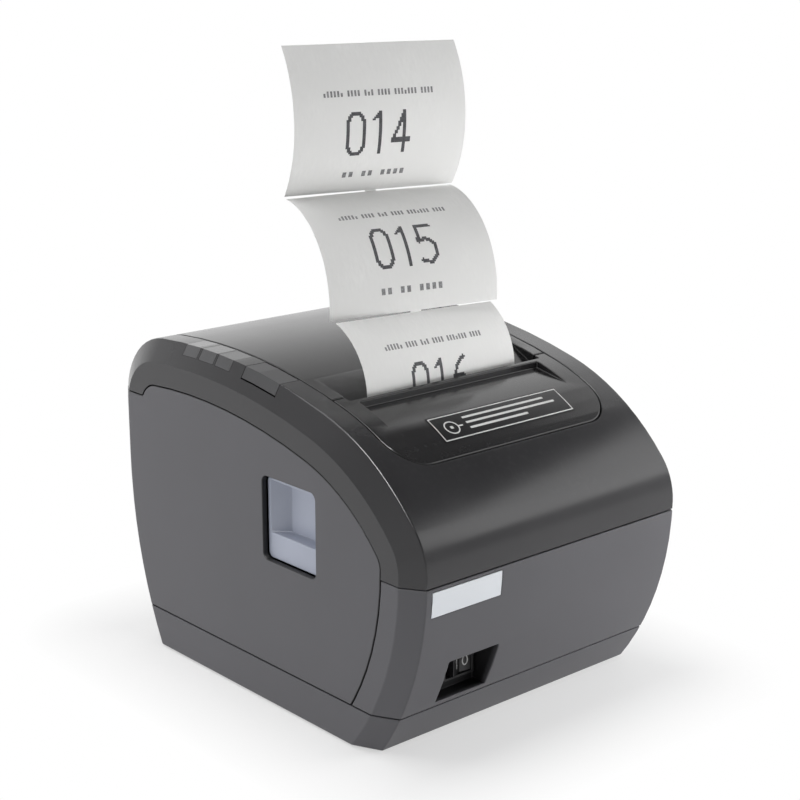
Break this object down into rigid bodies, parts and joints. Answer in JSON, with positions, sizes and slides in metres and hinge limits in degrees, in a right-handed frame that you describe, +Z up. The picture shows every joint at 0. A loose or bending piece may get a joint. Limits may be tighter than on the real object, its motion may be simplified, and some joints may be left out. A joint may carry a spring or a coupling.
{
  "type": "receipt printer",
  "caption": "Desktop thermal receipt printer with a hinged lid over the paper roll, a geared platen, a blade cutter under a lift-off cover, a release button and rear ports.",
  "frame": {"origin": "middle of the footprint, on the surface that the feet stand on", "axes": "+X is the printer's right, -Y its front, +Z up"},
  "size_m": [0.145, 0.19, 0.2535],
  "materials": {
    "shell": "fine matt grain",
    "cover": "satin",
    "inner": "matt",
    "button": "satin",
    "window": "clear smoked",
    "badge": "plain white plate",
    "gear": "natural acetal",
    "board": "solder mask",
    "steel": "plain",
    "sink": "satin",
    "head": "glazed",
    "rubber": "matt",
    "paper": "thermal paper",
    "core": "plain"
  },
  "bodies": {
    "chassis": {"base_tray": "shell", "front_panel": "shell", "rear_panel": "shell", "top_shell": "shell", "left_side_panel": "shell", "right_side_panel": "shell", "hinge_pins": "steel", "badge_plate": "badge", "rubber_feet": "rubber", "case_screws": "steel", "indicator_windows": "window", "button_board": "board", "feed_switch": "inner", "switch_body": "inner", "main_board": "board", "board_screws": "steel", "dc_inlet": "inner", "usb_port": "steel", "lan_port": "steel", "drawer_port": "inner", "paper_bin": "inner", "paper_sensor": "inner", "mechanism_frame": "steel", "print_head": "head", "heat_sink": "sink", "head_springs": "steel", "idler_axle": "steel", "feed_motor": "steel", "cutter_frame": "steel", "cutter_axle": "steel", "cutter_motor": "steel"},
    "lid": {"lid_shell": "cover", "lid_liner": "inner", "platen_bushes": "gear", "fixed_blade": "steel", "receipt_strip": "paper"},
    "platen": {"platen_shaft": "steel", "platen_rubber": "rubber", "platen_gear": "gear"},
    "roll": {"paper_roll": "paper", "roll_core": "core"},
    "idler": {"idler_gear": "gear"},
    "pinion": {"motor_pinion": "steel"},
    "release": {"open_button": "button", "open_button_spring": "steel"},
    "latch": {"latch_shaft": "steel", "latch_levers": "steel"},
    "feed": {"feed_button": "button"},
    "rocker": {"power_rocker": "inner"},
    "cover": {"cutter_cover": "cover"},
    "blade": {"cutter_blade": "steel"},
    "blade_gear": {"cutter_gear": "gear"},
    "blade_pinion": {"cutter_pinion": "steel"}
  },
  "joints": [
    {"name": "lid_hinge", "type": "hinge", "parent": "chassis", "child": "lid", "pos_m": [0, 0.082, 0.116], "axis": [-1, 0, 0], "range_deg": [0, 75]},
    {"name": "platen_spin", "type": "hinge", "parent": "lid", "child": "platen", "pos_m": [0, -0.022, 0.11], "axis": [1, 0, 0], "continuous": true},
    {"name": "roll_spin", "type": "hinge", "parent": "chassis", "child": "roll", "pos_m": [0, 0.027, 0.0633], "axis": [1, 0, 0], "continuous": true},
    {"name": "idler_spin", "type": "hinge", "parent": "chassis", "child": "idler", "pos_m": [0.0525, -0.022, 0.0923], "axis": [1, 0, 0], "continuous": true},
    {"name": "pinion_spin", "type": "hinge", "parent": "chassis", "child": "pinion", "pos_m": [0.0525, -0.03349, 0.08644], "axis": [1, 0, 0], "continuous": true},
    {"name": "release_press", "type": "slide", "parent": "chassis", "child": "release", "axis": [1, 0, 0], "range_m": [0, 0.004], "stiffness_N_per_m": 400, "deforming": ["open_button_spring"]},
    {"name": "latch_turn", "type": "hinge", "parent": "chassis", "child": "latch", "pos_m": [0, -0.0375, 0.1015], "axis": [1, 0, 0], "range_deg": [0, 14]},
    {"name": "feed_press", "type": "slide", "parent": "chassis", "child": "feed", "axis": [0, 0, -1], "range_m": [0, 0.0012], "stiffness_N_per_m": 500},
    {"name": "rocker_turn", "type": "hinge", "parent": "chassis", "child": "rocker", "pos_m": [-0.0335, -0.0724, 0.02875], "axis": [0, 0, -1], "range_deg": [0, 20]},
    {"name": "cover_lift", "type": "slide", "parent": "chassis", "child": "cover", "axis": [0, 0, 1], "range_m": [0, 0.03]},
    {"name": "blade_stroke", "type": "slide", "parent": "chassis", "child": "blade", "axis": [0, 0.8988, 0.4384], "range_m": [0, 0.006]},
    {"name": "blade_gear_turn", "type": "hinge", "parent": "chassis", "child": "blade_gear", "pos_m": [-0.0185, -0.05627, 0.10645], "axis": [0, -0.4384, 0.8988], "range_deg": [0, 72]},
    {"name": "blade_pinion_turn", "type": "hinge", "parent": "chassis", "child": "blade_pinion", "pos_m": [-0.0298, -0.05627, 0.10645], "axis": [0, -0.4384, 0.8988], "range_deg": [-96, 0]}
  ],
  "couplings": [
    {"joint": "platen_spin", "follows": "roll_spin", "ratio": 6.1667},
    {"joint": "idler_spin", "follows": "roll_spin", "ratio": -7.4},
    {"joint": "pinion_spin", "follows": "roll_spin", "ratio": 12.333},
    {"joint": "latch_turn", "follows": "release_press", "rad_per_m": 61},
    {"joint": "blade_gear_turn", "follows": "blade_stroke", "rad_per_m": 156.25},
    {"joint": "blade_pinion_turn", "follows": "blade_stroke", "rad_per_m": -208.33}
  ]
}
